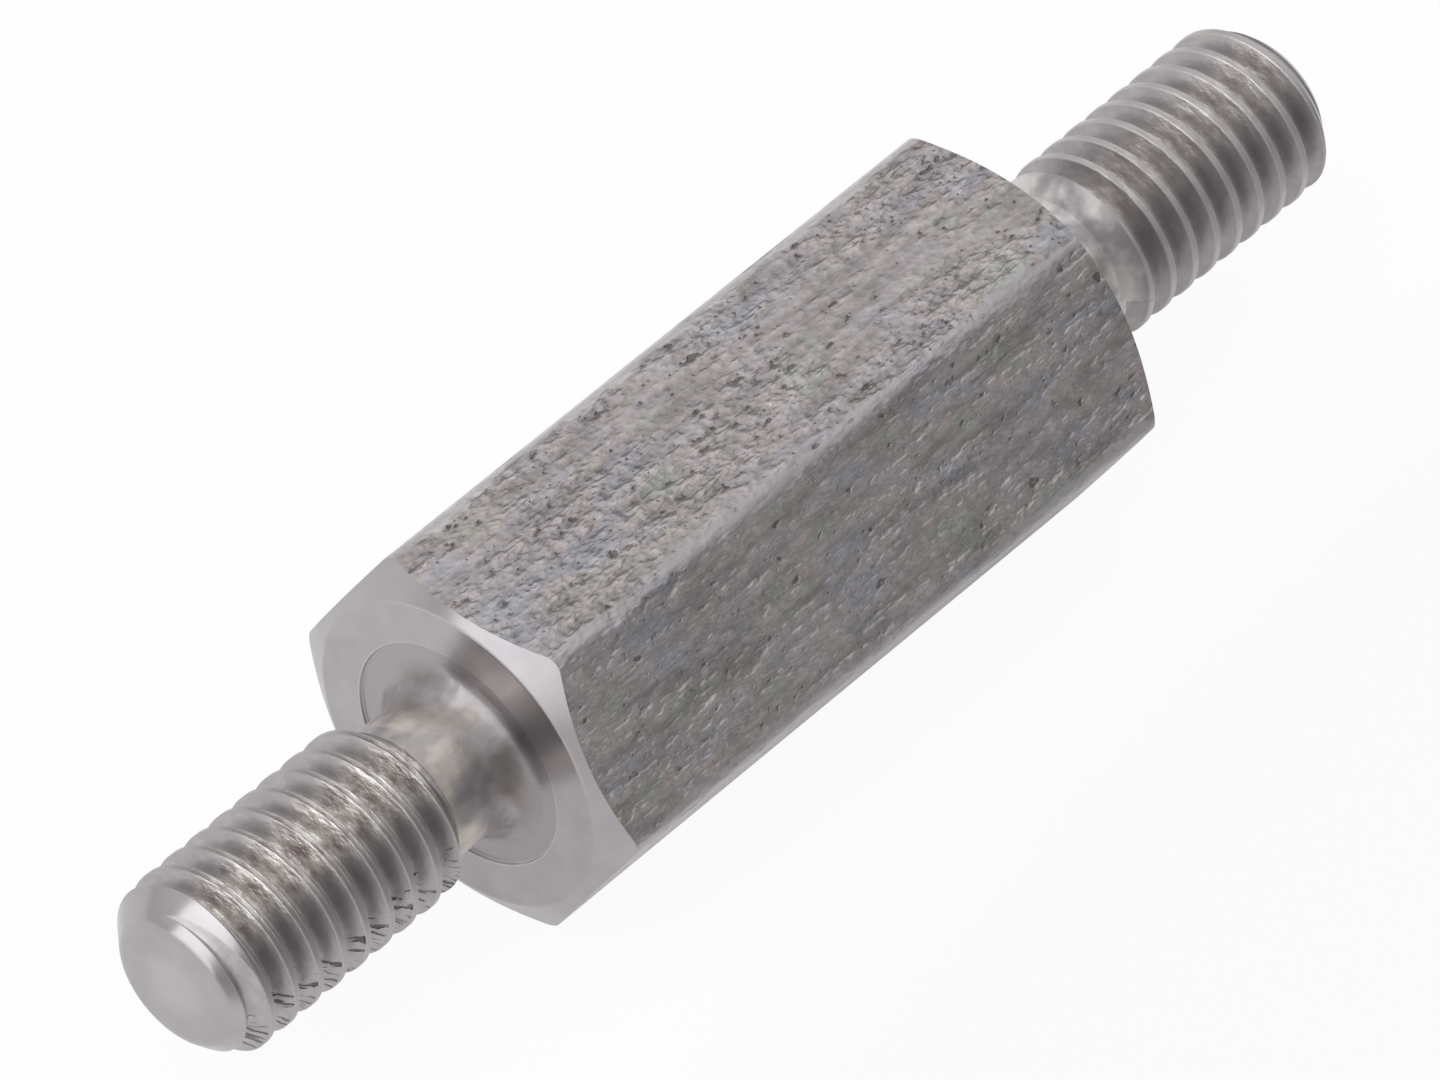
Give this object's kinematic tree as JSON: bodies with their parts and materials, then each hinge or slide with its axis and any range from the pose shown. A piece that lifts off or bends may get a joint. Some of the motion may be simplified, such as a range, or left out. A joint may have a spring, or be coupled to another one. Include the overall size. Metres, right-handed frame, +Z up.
{
  "type": "hex standoff",
  "caption": "Slender hexagonal steel spacer with a threaded stud and undercut neck at each end and chamfered, relieved shoulders.",
  "frame": {"origin": "under the middle of the length, on the surface that the part lies on, below its axis", "axes": "+X along the standoff's axis, from one stud's tip to the other's; +Z up, square to the hexagonal flat that it lies on; +Y across the body's edges"},
  "size_m": [0.024, 0.0062, 0.0055],
  "materials": {
    "bare_steel": "bare steel: dull drawn flats with fine pits and long drawn lines, and smooth turned ends"
  },
  "bodies": {
    "root": {"hex_standoff": "bare_steel"}
  },
  "joints": []
}
